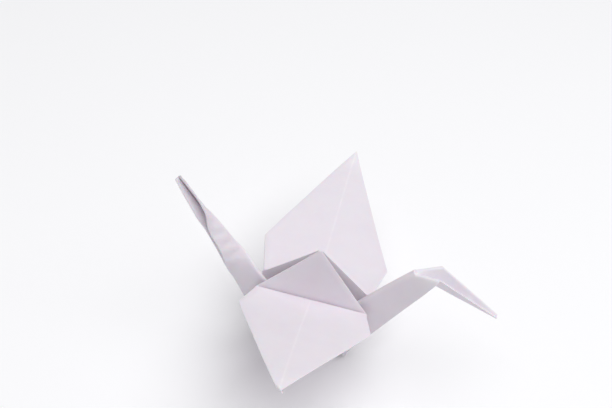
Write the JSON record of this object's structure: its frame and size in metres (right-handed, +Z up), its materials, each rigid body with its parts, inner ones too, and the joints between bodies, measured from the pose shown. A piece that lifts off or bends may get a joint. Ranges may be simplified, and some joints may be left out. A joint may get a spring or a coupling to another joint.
{
  "type": "origami crane",
  "caption": "Paper crane folded from one square sheet, with spread wings, a raised neck and tail, and an opened head; it stands on the lower corners of its body.",
  "frame": {"origin": "centre of the footprint, on the surface that the crane stands on", "axes": "+X from the tail to the head, +Y from the near wing to the far wing, +Z up"},
  "size_m": [0.1, 0.127, 0.0566],
  "materials": {
    "paper": "matte, very pale cool white"
  },
  "bodies": {
    "root": {"folded_sheet": "paper"}
  },
  "joints": []
}
